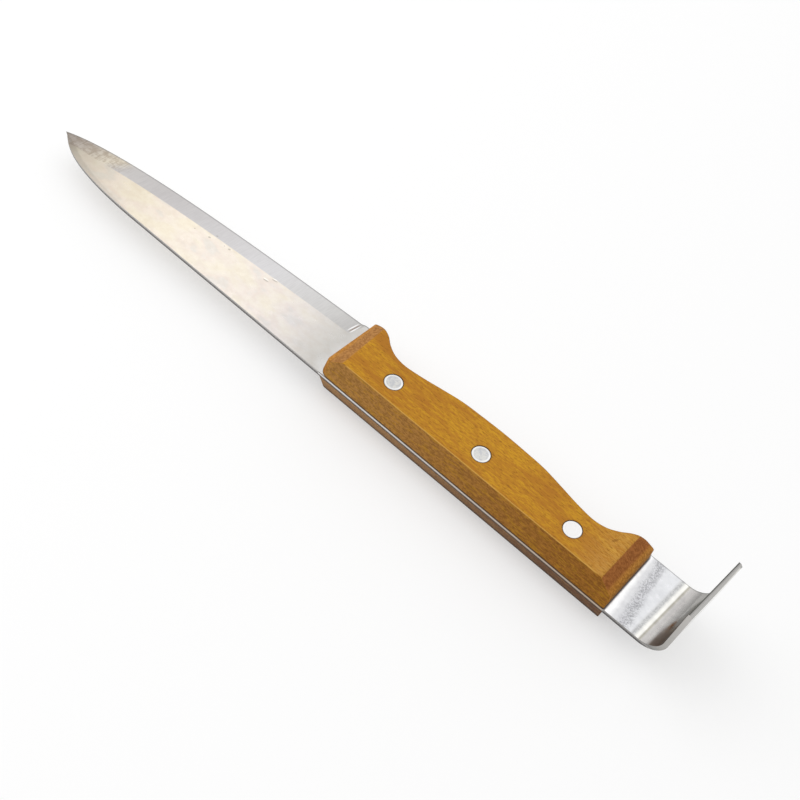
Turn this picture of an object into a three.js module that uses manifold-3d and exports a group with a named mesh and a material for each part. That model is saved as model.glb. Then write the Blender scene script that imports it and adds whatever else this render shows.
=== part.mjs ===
// A rigid hive tool: one stainless strip makes a pointed blade, a full tang and an upturned scraping hook.
// Two hardwood scales lie on the tang, held by three pairs of cutlery rivet halves pressed together.
// Millimetres. X runs from the blade's point to the hook, Y from the spine to the cutting edge, Z upwards.
import * as THREE from 'three';
import { mergeVertices } from 'three/addons/utils/BufferGeometryUtils.js';
import Module from 'manifold-3d';

const wasm = await Module();
wasm.setup();

// ---- Driving dimensions. Before the last step, x = 0 is the middle of the handle, y = 0 the spine's
// ---- straight edge and z = 0 the middle of the strip's thickness.
const STEEL = 2; // thickness of the strip
const STRIP_WIDTH = 34; // width of the strip at the hook
const HEEL_WIDTH = 33.1; // width of the blade where it meets the handle

const POINT_X = -237.7; // the blade's point
const POINT_Y = 12.4;
const SPINE_TURN_X = -185; // where the straight spine starts to curve up to the point
const BEVEL_WIDTH = 8.5; // ground band along the cutting edge
const BEVEL_TAPER = 2; // how much narrower that band is at the point
const EDGE_THICKNESS = 0.3; // steel left at the cutting edge
const RICASSO = 6.2; // unground length between the ground band and the handle
const POINT_BEVEL_WIDTH = 3.2; // narrow ground band along the curved part of the spine
const POINT_BEVEL_DROP = 0.7;

const HANDLE_HALF = 73.4; // half the handle's length
const SCALE_HEIGHT = 10; // thickness of one scale
const SIDE_SLOPE = 3.8; // how far the long sides lean in over a scale's height
const FRONT_GUARD_Y = 30.7; // tops of the finger guards on the upper scale's flat face
const REAR_GUARD_Y = 31.3;
const CHAMFER_SLOPE = THREE.MathUtils.degToRad(31); // sloping ends of the upper scale
const CHAMFER_RUN = 7.4; // from the upper scale's flat face to the end of the handle
const FRONT_SKEW = THREE.MathUtils.degToRad(3.3); // the front chamfer was cut slightly askew
const END_SLOPE = THREE.MathUtils.degToRad(86); // plain ends of the lower scale lean in

const BEND_START = 91.1; // where the strip leaves the flat, at its middle
const BEND_RADIUS = 8.6; // inside radius of the bend
const BEND_ANGLE = THREE.MathUtils.degToRad(87);
const BEND_SKEW = THREE.MathUtils.degToRad(1.9); // the fold line is slightly askew
const LIP_HEIGHT = 30.1; // top of the lip above the strip's upper face
const LIP_GRIND = 1; // ground flat on the lip's outer top edge

const RIVET_PITCH = 46;
const RIVET_Y = 12.4;
const RIVET_HEAD_RADIUS = 4;
const RIVET_HEAD_HEIGHT = 2.2;
const RIVET_TUBE_RADIUS = 2.5;
const RIVET_BORE_RADIUS = 1.7;
const RIVET_PIN_RADIUS = 1.5;
const RIVET_SHANK_LENGTH = 12.5; // each half's shank, below its head
const RIVET_CLEARANCE = 0.15; // all round each head and shank

const CURVE_STEPS = 48;
const ROUND_STEPS = 40;
const OVERRUN = 6; // how far a cutting or trimming shape runs past what it cuts

const HALF_STEEL = STEEL / 2;
const HANDLE_TOP = HALF_STEEL + SCALE_HEIGHT;

const WOOD = { color: 0xb98430, roughness: 0.6, metalness: 0 };
const SHADED_WOOD = { color: 0x8c602c, roughness: 0.6, metalness: 0 };
const STAINLESS = { color: 0xc9c7c2, roughness: 0.35, metalness: 1 };
const ALUMINIUM = { color: 0xdcdbe0, roughness: 0.4, metalness: 1 };

// ---- Passing shapes between three.js and manifold-3d

function solid(geometry) {
  const bare = geometry.clone();
  bare.deleteAttribute('normal');
  bare.deleteAttribute('uv');
  const merged = mergeVertices(bare, 1e-4);
  const mesh = new wasm.Mesh({
    numProp: 3,
    vertProperties: new Float32Array(merged.attributes.position.array),
    triVerts: new Uint32Array(merged.index.array),
  });
  mesh.merge();
  return new wasm.Manifold(mesh);
}

function namedMesh(name, body, finish) {
  const { vertProperties, triVerts } = body.getMesh();
  const geometry = new THREE.BufferGeometry();
  geometry.setAttribute('position', new THREE.BufferAttribute(new Float32Array(vertProperties), 3));
  geometry.setIndex(new THREE.BufferAttribute(new Uint32Array(triVerts), 1));
  geometry.computeVertexNormals();
  const mesh = new THREE.Mesh(geometry, new THREE.MeshStandardMaterial(finish));
  mesh.name = name;
  return mesh;
}

function block(low, high) {
  const size = high.map((value, i) => value - low[i]);
  const geometry = new THREE.BoxGeometry(...size);
  geometry.translate(...low.map((value, i) => value + size[i] / 2));
  return solid(geometry);
}

function plate(shape, bottom, top) {
  const geometry = new THREE.ExtrudeGeometry(shape, {
    depth: top - bottom,
    bevelEnabled: false,
    curveSegments: CURVE_STEPS,
  });
  geometry.translate(0, 0, bottom);
  return solid(geometry);
}

function turned(profile, x, y) {
  const points = profile.map(([radius, z]) => new THREE.Vector2(radius, z));
  const geometry = new THREE.LatheGeometry(points, ROUND_STEPS);
  geometry.rotateX(Math.PI / 2);
  geometry.translate(x, y, 0);
  return solid(geometry);
}

// ---- Steel: blade, tang and hook in one strip

const point = new THREE.Vector2(POINT_X, POINT_Y);

const cuttingEdge = new THREE.CubicBezierCurve(
  new THREE.Vector2(-HANDLE_HALF, HEEL_WIDTH),
  new THREE.Vector2(-152, 28.5),
  new THREE.Vector2(-215.5, 23.2),
  point,
);

const pointCurve = new THREE.CubicBezierCurve(
  point,
  new THREE.Vector2(-233.4, 11.2),
  new THREE.Vector2(-230.5, 0.2),
  new THREE.Vector2(SPINE_TURN_X, 0),
);

function bladePlate() {
  const outline = new THREE.Shape();
  outline.moveTo(-HANDLE_HALF + OVERRUN, 0);
  outline.lineTo(-HANDLE_HALF + OVERRUN, HEEL_WIDTH - 1);
  outline.lineTo(-HANDLE_HALF, HEEL_WIDTH);
  cuttingEdge.getPoints(CURVE_STEPS).slice(1).forEach((p) => outline.lineTo(p.x, p.y));
  pointCurve.getPoints(CURVE_STEPS).slice(1).forEach((p) => outline.lineTo(p.x, p.y));
  return plate(outline, -HALF_STEEL, HALF_STEEL);
}

// The line where a ground band meets the flat, set in from an edge curve, and carried on past both ends.
function bevelLine(curve, widthAt, first, last) {
  const line = [];
  for (let i = 0; i <= CURVE_STEPS; i += 1) {
    const t = first + ((last - first) * i) / CURVE_STEPS;
    const along = curve.getTangent(t);
    line.push(curve.getPoint(t).add(new THREE.Vector2(-along.y, along.x).multiplyScalar(widthAt(t))));
  }
  return line;
}

// A wedge swept along a bevel line: side +1 grinds the upper face and -1 the lower face.
// The blade's outside lies to the right of the line's direction.
function grindingWedge(line, width, drop, side) {
  const reach = (width + OVERRUN) / width;
  const path = new THREE.CatmullRomCurve3(line.map((p) => new THREE.Vector3(p.x, p.y, side * HALF_STEEL)));
  const section = new THREE.Shape([
    new THREE.Vector2(0, 0),
    new THREE.Vector2(side * drop * reach, -width * reach),
    new THREE.Vector2(-side, -width * reach),
    new THREE.Vector2(-side, 0),
  ]);
  const geometry = new THREE.ExtrudeGeometry(section, {
    steps: CURVE_STEPS,
    bevelEnabled: false,
    extrudePath: path,
  });
  return solid(geometry);
}

// Folds a point of the flat strip round the bend, as sheet metal folds about a line across the strip.
function fold(flat) {
  const across = new THREE.Vector2(Math.sin(BEND_SKEW), Math.cos(BEND_SKEW));
  const along = new THREE.Vector2(across.y, -across.x);
  const start = new THREE.Vector2(BEND_START, STRIP_WIDTH / 2);
  const offset = new THREE.Vector2(flat.x, flat.y).sub(start);
  const travel = offset.dot(along);
  if (travel <= 0) return flat;
  const neutral = BEND_RADIUS + HALF_STEEL;
  const angle = Math.min(travel / neutral, BEND_ANGLE);
  const straight = travel - angle * neutral;
  const forward = (neutral - flat.z) * Math.sin(angle) + straight * Math.cos(angle);
  const rise = neutral - (neutral - flat.z) * Math.cos(angle) + straight * Math.sin(angle);
  const place = start.addScaledVector(across, offset.dot(across)).addScaledVector(along, forward);
  return new THREE.Vector3(place.x, place.y, rise);
}

// Length of flat strip, from the start of the bend, that brings the lip to its height.
function hookLength() {
  const neutral = BEND_RADIUS + HALF_STEEL;
  const rise = LIP_HEIGHT + HALF_STEEL - neutral * (1 - Math.cos(BEND_ANGLE));
  return neutral * BEND_ANGLE + rise / Math.sin(BEND_ANGLE);
}

function hookStrip() {
  const from = HANDLE_HALF - OVERRUN;
  const length = BEND_START + hookLength() - from;
  const geometry = new THREE.BoxGeometry(length, STRIP_WIDTH, STEEL, Math.round(length), 1, 1);
  geometry.translate(from + length / 2, STRIP_WIDTH / 2, 0);
  const position = geometry.attributes.position;
  for (let i = 0; i < position.count; i += 1) {
    const folded = fold(new THREE.Vector3().fromBufferAttribute(position, i));
    position.setXYZ(i, folded.x, folded.y, folded.z);
  }
  const corner = fold(new THREE.Vector3(from + length, STRIP_WIDTH / 2, -HALF_STEEL));
  const grind = new THREE.BoxGeometry(OVERRUN, 2 * STRIP_WIDTH, OVERRUN);
  grind.translate(OVERRUN / 2 - LIP_GRIND * Math.SQRT1_2, 0, 0);
  grind.rotateY(-Math.PI / 4);
  grind.rotateZ(-BEND_SKEW);
  grind.rotateX(-BEND_SKEW);
  grind.translate(corner.x, corner.y, corner.z);
  return solid(geometry).subtract(solid(grind));
}

function steelStrip(grip) {
  const bevelDrop = (STEEL - EDGE_THICKNESS) / 2;
  const edgeWidth = (t) => BEVEL_WIDTH - BEVEL_TAPER * t ** 8;
  const plunge = cuttingEdge.getUtoTmapping(0, RICASSO); // where the ground band starts, on the curve
  const edgeLine = bevelLine(cuttingEdge, edgeWidth, plunge, 1);
  const beyondPoint = cuttingEdge.getTangent(1).multiplyScalar(OVERRUN * 3);
  edgeLine.push(edgeLine.at(-1).clone().add(beyondPoint));
  const spineLine = bevelLine(pointCurve, (t) => POINT_BEVEL_WIDTH * (1 - t), 0, 1);
  spineLine.unshift(spineLine[0].clone().sub(pointCurve.getTangent(0).multiplyScalar(OVERRUN)));
  let strip = bladePlate();
  for (const side of [1, -1]) {
    strip = strip.subtract(grindingWedge(edgeLine, BEVEL_WIDTH, bevelDrop, side));
    strip = strip.subtract(grindingWedge(spineLine, POINT_BEVEL_WIDTH, POINT_BEVEL_DROP, side));
  }
  const tang = grip.intersect(block(
    [-HANDLE_HALF, -STRIP_WIDTH, -HALF_STEEL],
    [HANDLE_HALF, 2 * STRIP_WIDTH, HALF_STEEL],
  ));
  return strip.add(tang.intersect(endPlan())).add(hookStrip());
}

// ---- Wood: both scales and the tang share one body, widest at the steel and leaning in to both faces

function gripBody() {
  const end = HANDLE_HALF + OVERRUN;
  const halfEdge = (guard) => [
    [12, 27], [21, 26.5], [30, 25], [40, 23.2], [49, 22.3], [56, 23.5], [61.5, 26.4], [65.5, 29.5],
    [69.5, guard], [74, guard],
  ];
  const upperEdge = new THREE.SplineCurve([
    ...halfEdge(REAR_GUARD_Y).toReversed().map(([x, y]) => new THREE.Vector2(x, y)),
    new THREE.Vector2(0, 27.3),
    ...halfEdge(FRONT_GUARD_Y).map(([x, y]) => new THREE.Vector2(-x, y)),
  ]);
  const outline = new THREE.Shape();
  outline.moveTo(-end, SIDE_SLOPE);
  outline.lineTo(end, SIDE_SLOPE);
  outline.lineTo(end, REAR_GUARD_Y);
  upperEdge.getPoints(CURVE_STEPS * 2).forEach((p) => outline.lineTo(p.x, p.y));
  outline.lineTo(-end, FRONT_GUARD_Y);
  const geometry = new THREE.ExtrudeGeometry(outline, {
    depth: STEEL,
    bevelThickness: SCALE_HEIGHT,
    bevelSize: SIDE_SLOPE,
    bevelSegments: 1,
  });
  geometry.translate(0, 0, -HALF_STEEL);
  return solid(geometry);
}

// The handle's plan: its ends lean a little, and each corner is rounded as a sander leaves it.
function endPlan() {
  const top = REAR_GUARD_Y + SIDE_SLOPE;
  const corners = [
    { at: new THREE.Vector2(-HANDLE_HALF - 0.5, 0), round: 4.4 },
    { at: new THREE.Vector2(HANDLE_HALF, 0), round: 0.8 },
    { at: new THREE.Vector2(HANDLE_HALF - 0.6, top), round: 3.5 },
    { at: new THREE.Vector2(-HANDLE_HALF + 1, top), round: 1.8 },
  ];
  const outline = new THREE.Shape();
  corners.forEach(({ at, round }, i) => {
    const before = corners.at(i - 1).at;
    const after = corners[(i + 1) % corners.length].at;
    const enter = at.clone().addScaledVector(before.clone().sub(at).normalize(), round);
    const leave = at.clone().addScaledVector(after.clone().sub(at).normalize(), round);
    if (i === 0) outline.moveTo(enter.x, enter.y);
    else outline.lineTo(enter.x, enter.y);
    outline.quadraticCurveTo(at.x, at.y, leave.x, leave.y);
  });
  const geometry = new THREE.ExtrudeGeometry(outline, {
    depth: 2 * HANDLE_TOP,
    bevelEnabled: false,
    curveSegments: 10,
  });
  geometry.translate(0, 0, -HANDLE_TOP);
  return solid(geometry);
}

// A cutting block whose lower face starts at (x, z) and slopes away from the middle of the handle.
function endCut(x, z, slope, skew) {
  const outward = Math.sign(x);
  const upward = Math.sign(z);
  const size = 4 * SCALE_HEIGHT;
  const geometry = new THREE.BoxGeometry(size * 2, STRIP_WIDTH * 3, size);
  geometry.translate(outward * size * 0.5, 0, upward * size * 0.5);
  geometry.rotateY(outward * upward * slope);
  geometry.rotateZ(skew);
  geometry.translate(x, STRIP_WIDTH / 2, z);
  return solid(geometry);
}

function scale(grip, side) {
  const low = [-2 * HANDLE_HALF, -STRIP_WIDTH, side > 0 ? HALF_STEEL : -HANDLE_TOP];
  const high = [2 * HANDLE_HALF, 2 * STRIP_WIDTH, side > 0 ? HANDLE_TOP : -HALF_STEEL];
  return grip.intersect(block(low, high)).intersect(endPlan());
}

function upperScaleBody(grip) {
  const flat = HANDLE_HALF - CHAMFER_RUN;
  return scale(grip, 1)
    .subtract(endCut(-flat, HANDLE_TOP, CHAMFER_SLOPE, FRONT_SKEW))
    .subtract(endCut(flat, HANDLE_TOP, CHAMFER_SLOPE, 0));
}

function lowerScaleBody(grip) {
  const flat = HANDLE_HALF - SCALE_HEIGHT / Math.tan(END_SLOPE);
  return scale(grip, -1)
    .subtract(endCut(-flat, -HANDLE_TOP, END_SLOPE, 0))
    .subtract(endCut(flat, -HANDLE_TOP, END_SLOPE, 0));
}

// ---- Rivets: a male half from above, its pin pressed into the female half's tube from below

function rivetHole(x) {
  const tube = RIVET_TUBE_RADIUS + RIVET_CLEARANCE;
  const head = RIVET_HEAD_RADIUS + RIVET_CLEARANCE;
  const seat = HANDLE_TOP - RIVET_HEAD_HEIGHT;
  const profile = [
    [0, -HANDLE_TOP - 1], [head, -HANDLE_TOP - 1], [head, -seat], [tube, -seat],
    [tube, seat], [head, seat], [head, HANDLE_TOP + 1], [0, HANDLE_TOP + 1],
  ];
  return turned(profile, x, RIVET_Y);
}

function maleRivet(x) {
  const seat = HANDLE_TOP - RIVET_HEAD_HEIGHT;
  const tip = seat - RIVET_SHANK_LENGTH;
  const profile = [
    [0, tip], [RIVET_PIN_RADIUS - 0.4, tip], [RIVET_PIN_RADIUS, tip + 0.8], [RIVET_PIN_RADIUS, seat],
    [RIVET_HEAD_RADIUS, seat], [RIVET_HEAD_RADIUS, HANDLE_TOP], [0, HANDLE_TOP],
  ];
  return turned(profile, x, RIVET_Y);
}

function femaleRivet(x) {
  const seat = -HANDLE_TOP + RIVET_HEAD_HEIGHT;
  const mouth = seat + RIVET_SHANK_LENGTH;
  const profile = [
    [0, -HANDLE_TOP], [RIVET_HEAD_RADIUS, -HANDLE_TOP], [RIVET_HEAD_RADIUS, seat],
    [RIVET_TUBE_RADIUS, seat], [RIVET_TUBE_RADIUS, mouth], [RIVET_BORE_RADIUS, mouth],
    [RIVET_BORE_RADIUS, seat + 1], [0, seat + 1],
  ];
  return turned(profile, x, RIVET_Y);
}

// ---- Assembly

const grip = gripBody();
const rivetPlaces = { front: -RIVET_PITCH, middle: 0, rear: RIVET_PITCH };
let steel = steelStrip(grip);
let upperScale = upperScaleBody(grip);
let lowerScale = lowerScaleBody(grip);
const hiveTool = new THREE.Group();

for (const [place, x] of Object.entries(rivetPlaces)) {
  const hole = rivetHole(x);
  steel = steel.subtract(hole);
  upperScale = upperScale.subtract(hole);
  lowerScale = lowerScale.subtract(hole);
  hiveTool.add(namedMesh(`rivet_male_${place}`, maleRivet(x), ALUMINIUM));
  hiveTool.add(namedMesh(`rivet_female_${place}`, femaleRivet(x), ALUMINIUM));
}

hiveTool.add(namedMesh('blade_tang_and_hook', steel, STAINLESS));
hiveTool.add(namedMesh('handle_scale_upper', upperScale, WOOD));
hiveTool.add(namedMesh('handle_scale_lower', lowerScale, SHADED_WOOD));

// The origin is the middle of the whole tool's footprint, on the surface that the lower scale lies on.
const footprint = new THREE.Box3().setFromObject(hiveTool);
const middle = footprint.getCenter(new THREE.Vector3());
hiveTool.position.set(-middle.x, -middle.y, HANDLE_TOP);

export default hiveTool;
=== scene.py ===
import math

import bpy
from mathutils import Matrix, Vector


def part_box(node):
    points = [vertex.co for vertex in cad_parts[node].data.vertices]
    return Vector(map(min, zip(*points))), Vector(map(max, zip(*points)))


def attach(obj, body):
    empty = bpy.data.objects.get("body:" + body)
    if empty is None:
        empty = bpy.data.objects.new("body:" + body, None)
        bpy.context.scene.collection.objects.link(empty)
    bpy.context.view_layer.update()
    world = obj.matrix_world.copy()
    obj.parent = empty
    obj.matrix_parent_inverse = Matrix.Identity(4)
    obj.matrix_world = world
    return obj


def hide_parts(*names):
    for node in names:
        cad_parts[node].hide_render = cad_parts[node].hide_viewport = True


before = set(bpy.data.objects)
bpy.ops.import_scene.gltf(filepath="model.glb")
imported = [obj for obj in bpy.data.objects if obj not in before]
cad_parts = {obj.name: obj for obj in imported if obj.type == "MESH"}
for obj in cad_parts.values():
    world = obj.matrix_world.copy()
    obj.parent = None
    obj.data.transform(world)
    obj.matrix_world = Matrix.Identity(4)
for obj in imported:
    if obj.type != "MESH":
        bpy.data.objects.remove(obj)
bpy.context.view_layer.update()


# ---- The steel strip: blade, tang and hook ------------------------------------------------------
# One strip of 2 mm stainless steel, blanked to its outline. It is ground to an edge along one side
# and round the point, left full width as the tang, and folded up behind the handle into a scraping
# hook.

MM = 0.001
HALF_STEEL = 1  # handle measures, such as this one, are in millimetres
RIVET_Y = 12.4  # from the spine to the rivets

rivet_low, rivet_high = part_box("rivet_male_middle")
strip_low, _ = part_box("blade_tang_and_hook")
HANDLE_ORIGIN = Vector((
    (rivet_low.x + rivet_high.x) / 2,
    (rivet_low.y + rivet_high.y) / 2 - RIVET_Y * MM,
    strip_low.z + HALF_STEEL * MM,
))


def place(x, y, z):
    """A point from handle measures: along from the middle rivet, up from the spine, and out from
    the strip's middle."""
    return HANDLE_ORIGIN + Vector((x, y, z)) * MM


def ramp(value, start, end):
    """0 at start, 1 at end, and smooth between them."""
    t = min(max((value - start) / (end - start), 0), 1)
    return t * t * (3 - 2 * t)


def bezier_height(corners, x):
    """Height of a cubic Bezier curve where it passes x, found by halving. Its corners run in the
    direction of growing x."""
    def along(axis, t):
        a, b, c, d = (corner[axis] for corner in corners)
        return (1 - t) ** 3 * a + 3 * (1 - t) ** 2 * t * b + 3 * (1 - t) * t * t * c + t ** 3 * d

    low, high = 0, 1
    for _ in range(40):
        t = (low + high) / 2
        low, high = (t, high) if along(0, t) < x else (low, t)
    return along(1, low)


def spaced(start, end, step):
    """Stations from start to end, end left out, about a step apart."""
    count = max(1, round((end - start) / step))
    return [start + (end - start) * i / count for i in range(count)]


def pick(piece):
    """Selects one piece alone and makes it active."""
    bpy.ops.object.mode_set(mode="OBJECT")
    bpy.ops.object.select_all(action="DESELECT")
    bpy.context.view_layer.objects.active = piece
    piece.select_set(True)


MERGE_DISTANCE = 0.002


def rolled(name, rings):
    """A closed skin through rings of points: a grid rolled up along its length, joined, capped and
    turned outwards."""
    bpy.ops.object.select_all(action="DESELECT")
    rows = len(rings[0]) + 1
    bpy.ops.mesh.primitive_grid_add(x_subdivisions=len(rings) - 1, y_subdivisions=rows - 1, size=1)
    skin = bpy.context.object
    skin.name = name
    skin.data.name = name
    order = sorted(skin.data.vertices, key=lambda v: (round(v.co.x, 6), round(v.co.y, 6)))
    for i, ring in enumerate(rings):
        for j, point in enumerate(ring + ring[:1]):
            order[i * rows + j].co = point
    bpy.ops.object.mode_set(mode="EDIT")
    bpy.ops.mesh.select_all(action="SELECT")
    bpy.ops.mesh.remove_doubles(threshold=MERGE_DISTANCE * MM)
    bpy.ops.mesh.select_all(action="DESELECT")
    bpy.ops.mesh.select_non_manifold(
        extend=False, use_wire=False, use_multi_face=False, use_non_contiguous=False,
        use_verts=False,
    )
    bpy.ops.mesh.edge_face_add()
    bpy.ops.mesh.select_all(action="SELECT")
    bpy.ops.mesh.normals_make_consistent(inside=False)
    bpy.ops.object.mode_set(mode="OBJECT")
    return skin


ROUND_SIDES = 96  # facets round a hole or a rivet


def drill(piece, radius, low, high, x):
    """A round hole on a rivet's axis, between two heights."""
    bpy.ops.object.select_all(action="DESELECT")
    bpy.ops.mesh.primitive_cylinder_add(
        vertices=ROUND_SIDES, radius=radius * MM, depth=(high - low) * MM,
        location=place(x, RIVET_Y, (low + high) / 2),
    )
    bit = bpy.context.object
    pick(piece)
    cut = piece.modifiers.new("hole", "BOOLEAN")
    cut.operation = "DIFFERENCE"
    cut.solver = "EXACT"
    cut.object = bit
    bpy.ops.object.modifier_apply(modifier=cut.name)
    bpy.data.objects.remove(bit)


HANDLE_HALF = 73.4  # half the handle's length
POINT_X, POINT_Y = -237.7, 12.4  # the blade's point
SPINE_TURN_X = -185  # where the straight spine starts to curve up to the point
CUTTING_EDGE = [(POINT_X, POINT_Y), (-215.5, 23.2), (-152, 28.5), (-HANDLE_HALF, 33.1)]
POINT_CURVE = [(POINT_X, POINT_Y), (-233.4, 11.2), (-230.5, 0.2), (SPINE_TURN_X, 0)]
STRIP_WIDTH = 34
MIDDLE_Y = STRIP_WIDTH / 2
EDGE_HALF = 0.15  # half the steel left at the cutting edge
BEVEL_WIDTH = 8.5  # ground band along the cutting edge
BEVEL_TAPER = 2  # how much narrower that band is at the point
TAPER_LENGTH = 12
SPINE_BAND = 0.6  # row of faces along the straight spine
POINT_BAND = 2.6  # how much wider it is at the point, where it is a ground band too
POINT_BAND_DROP = 0.7
PLUNGE_X, PLUNGE_Y = -80.6, 24  # where the ground band runs out, ahead of the handle
PLUNGE_LEAN = 0.16
PLUNGE_RUN = 2.6
TANG_INSET = 0.05  # the tang is sanded just under the scales
BEND_START = 91.1  # where the strip leaves the flat, at its middle
BEND_RADIUS = 9.6  # to the middle of the steel
BEND_ANGLE = math.radians(87)
BEND_SKEW = math.radians(1.9)  # the fold line is slightly askew
LIP_TOP = 31.1
LIP_GRIND = 1  # ground off the lip's outer top edge
lip_straight = (LIP_TOP - BEND_RADIUS * (1 - math.cos(BEND_ANGLE))) / math.sin(BEND_ANGLE)
STRIP_END = BEND_START + BEND_RADIUS * BEND_ANGLE + lip_straight

# The grip's upper edge at the scales' flat faces, from its middle out to a guard, the same both
# ways, and then the stations where the guards' tops run level.
GRIP_EDGE = [
    (0, 27.3), (12, 27), (21, 26.5), (30, 25), (40, 23.2), (49, 22.3), (56, 23.5), (61.5, 26.4),
    (65.5, 29.5),
]
GUARD_STATIONS = (69.5, 74, 80)
FRONT_GUARD, REAR_GUARD = 30.7, 31.3
SIDE_SLOPE = 3.8  # how far the long sides lean in over a scale's height


def grip_outline():
    """Points of that edge as a smooth curve, moved out by the sides' slope to where they meet the
    steel."""
    knots = [(-x, FRONT_GUARD) for x in reversed(GUARD_STATIONS)]
    knots += [(-x, y) for x, y in GRIP_EDGE[:0:-1]] + GRIP_EDGE
    knots += [(x, REAR_GUARD) for x in GUARD_STATIONS]
    knots = [Vector(knot) for knot in knots]
    curve = []
    for before, a, b, after in zip(knots, knots[1:], knots[2:], knots[3:]):
        for t in spaced(0, 1, 0.05):
            curve.append((
                (2 * a) + (b - before) * t + (2 * before - 5 * a + 4 * b - after) * t * t
                + (3 * a - before - 3 * b + after) * t ** 3
            ) / 2)
    moved = []
    for a, b in zip(curve, curve[1:]):
        run = (b - a).normalized()
        moved.append((a + b) / 2 + SIDE_SLOPE * Vector((-run.y, run.x)))
    return moved


tang_edge = grip_outline()


def tang_height(x):
    """The grip's upper edge at the steel."""
    for a, b in zip(tang_edge, tang_edge[1:]):
        if a.x <= x <= b.x:
            return min(a.y + (b.y - a.y) * (x - a.x) / (b.x - a.x), REAR_GUARD + SIDE_SLOPE)
    return tang_edge[0].y if x < 0 else tang_edge[-1].y


def strip_outline(x):
    """The strip's two sides at a station: spine and upper side."""
    if x <= -HANDLE_HALF:
        spine = bezier_height(POINT_CURVE, x) if x < SPINE_TURN_X else 0
        return spine, max(bezier_height(CUTTING_EDGE, x), spine)
    if x < HANDLE_HALF:
        return 0, tang_height(x) - TANG_INSET
    return 0, STRIP_WIDTH


def strip_ring(x):
    """The strip's section: across its upper face from the spine to the edge, and back across its
    lower face."""
    spine, edge = strip_outline(x)
    point_fade = min(max((x - POINT_X) / (SPINE_TURN_X - POINT_X), 0), 1)
    spine_band = SPINE_BAND + POINT_BAND * (1 - point_fade)
    edge_band = BEVEL_WIDTH - BEVEL_TAPER * math.exp((POINT_X - x) / TAPER_LENGTH)
    room = min(1, (edge - spine) / (spine_band + edge_band))
    ridge = EDGE_HALF + (HALF_STEEL - EDGE_HALF) * room
    spine_drop = min(POINT_BAND_DROP, ridge - EDGE_HALF)
    upper = []
    for share in spaced(0, 1, 0.34):
        y = spine + spine_band * room * share
        upper.append((y, ridge - (1 - share) * spine_drop * (1 - point_fade)))
    for share in spaced(0, 1, 0.1):
        y = spine + spine_band * room + (edge - spine - (spine_band + edge_band) * room) * share
        upper.append((y, ridge))
    for share in spaced(0, 1, 0.125) + [1]:
        y = edge - edge_band * room * (1 - share)
        plunge = PLUNGE_X + PLUNGE_LEAN * (y - PLUNGE_Y)
        ground = 1 - ramp(x, plunge, plunge + PLUNGE_RUN)
        upper.append((y, ridge - (ridge - EDGE_HALF) * share * ground))
    ring = [(x, y, z) for y, z in upper]
    outer_grind = max(0, x - STRIP_END + LIP_GRIND)
    return ring + [(x, y, outer_grind - z) for y, z in reversed(upper)]


def fold(point):
    """Folds a point of the flat strip round the bend, about a line that is slightly askew."""
    across = Vector((math.sin(BEND_SKEW), math.cos(BEND_SKEW)))
    along = Vector((across.y, -across.x))
    start = Vector((BEND_START, MIDDLE_Y))
    offset = Vector(point[:2]) - start
    travel = offset.dot(along)
    if travel <= 0:
        return point
    angle = min(travel / BEND_RADIUS, BEND_ANGLE)
    straight = travel - angle * BEND_RADIUS
    inner = BEND_RADIUS - point[2]
    forward = inner * math.sin(angle) + straight * math.cos(angle)
    flat = start + across * offset.dot(across) + along * forward
    return flat.x, flat.y, BEND_RADIUS - inner * math.cos(angle) + straight * math.sin(angle)


TIP_LENGTH = 50
TIP_STATIONS = 90
TIP_CROWDING = 1.7  # above 1, the stations crowd towards the point
STEP_ASIDE = 0.01  # from the blade's width to the tang's, and from the tang's to the hook's
STRETCHES = [  # start, end, step
    (POINT_X + TIP_LENGTH, -84, 1),
    (-84, -76.5, 0.3),
    (-76.5, -HANDLE_HALF, 1),
    (-HANDLE_HALF + STEP_ASIDE, HANDLE_HALF, 1.5),
    (HANDLE_HALF + STEP_ASIDE, BEND_START - 2, 2),
    (BEND_START - 2, BEND_START + 17, 0.35),
    (BEND_START + 17, STRIP_END - LIP_GRIND, 1.5),
]
stations = [
    POINT_X + TIP_LENGTH * (i / TIP_STATIONS) ** TIP_CROWDING for i in range(TIP_STATIONS)
]
for stretch in STRETCHES:
    stations += spaced(*stretch)
stations += [STRIP_END - LIP_GRIND, STRIP_END - LIP_GRIND / 2, STRIP_END]

strip = rolled("steel_strip", [[place(*fold(point)) for point in strip_ring(x)] for x in stations])
RIVET_PLACES = {"front": -46, "middle": 0, "rear": 46}
TUBE_HOLE = 2.65
for rivet_x in RIVET_PLACES.values():
    drill(strip, TUBE_HOLE, -3 * HALF_STEEL, 3 * HALF_STEEL, rivet_x)
pick(strip)
edges = strip.modifiers.new("broken edges", "BEVEL")
edges.limit_method = "ANGLE"
edges.angle_limit = math.radians(40)
edges.width = 0.12 * MM
edges.segments = 2
bpy.ops.object.modifier_apply(modifier=edges.name)
# Less than the ground band's slope, so that its line stays crisp.
bpy.ops.object.shade_smooth_by_angle(angle=math.radians(4))

from_edge = strip.data.attributes.new("from_edge", "FLOAT", "POINT")
for vertex, mark in zip(strip.data.vertices, from_edge.data):
    along, up, _ = (vertex.co - HANDLE_ORIGIN) / MM
    mark.value = strip_outline(along)[1] - up if along < -HANDLE_HALF else STRIP_WIDTH


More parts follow.
